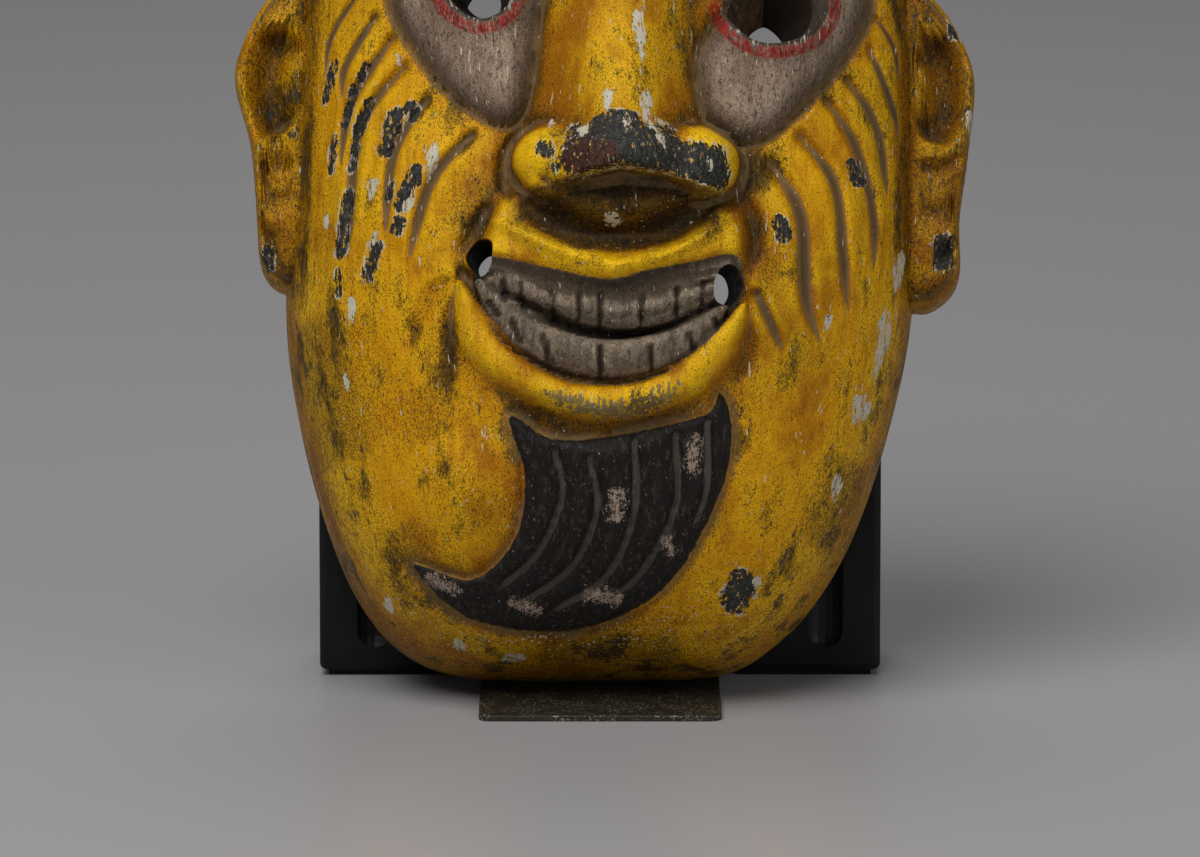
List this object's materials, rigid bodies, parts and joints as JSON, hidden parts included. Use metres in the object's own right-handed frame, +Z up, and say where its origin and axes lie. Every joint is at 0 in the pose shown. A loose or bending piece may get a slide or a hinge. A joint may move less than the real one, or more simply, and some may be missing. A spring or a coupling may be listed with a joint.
{
  "type": "carved wooden dance mask on a stand",
  "caption": "Carved hollow wooden dance mask with a wide grin and a side-swept beard, leaning back on a low block with its chin on a steel plate.",
  "frame": {"origin": "middle of the foot plate's underside, on the surface that the stand rests on", "axes": "+Z up, the longest way; the face looks along -Y; +X is the viewer's right"},
  "size_m": [0.2413, 0.1573, 0.3243],
  "materials": {
    "mask_paint": "old yellow ochre paint on wood, rubbed and chipped, with dirt in the carving; black beard, grey eyes and teeth, red eye rims",
    "stand_black": "satin black",
    "plate_steel": "dark wrinkle finish with a bright worn edge"
  },
  "bodies": {
    "root": {"mask": "mask_paint", "stand_back": "stand_black", "foot_plate": "plate_steel"}
  },
  "joints": []
}
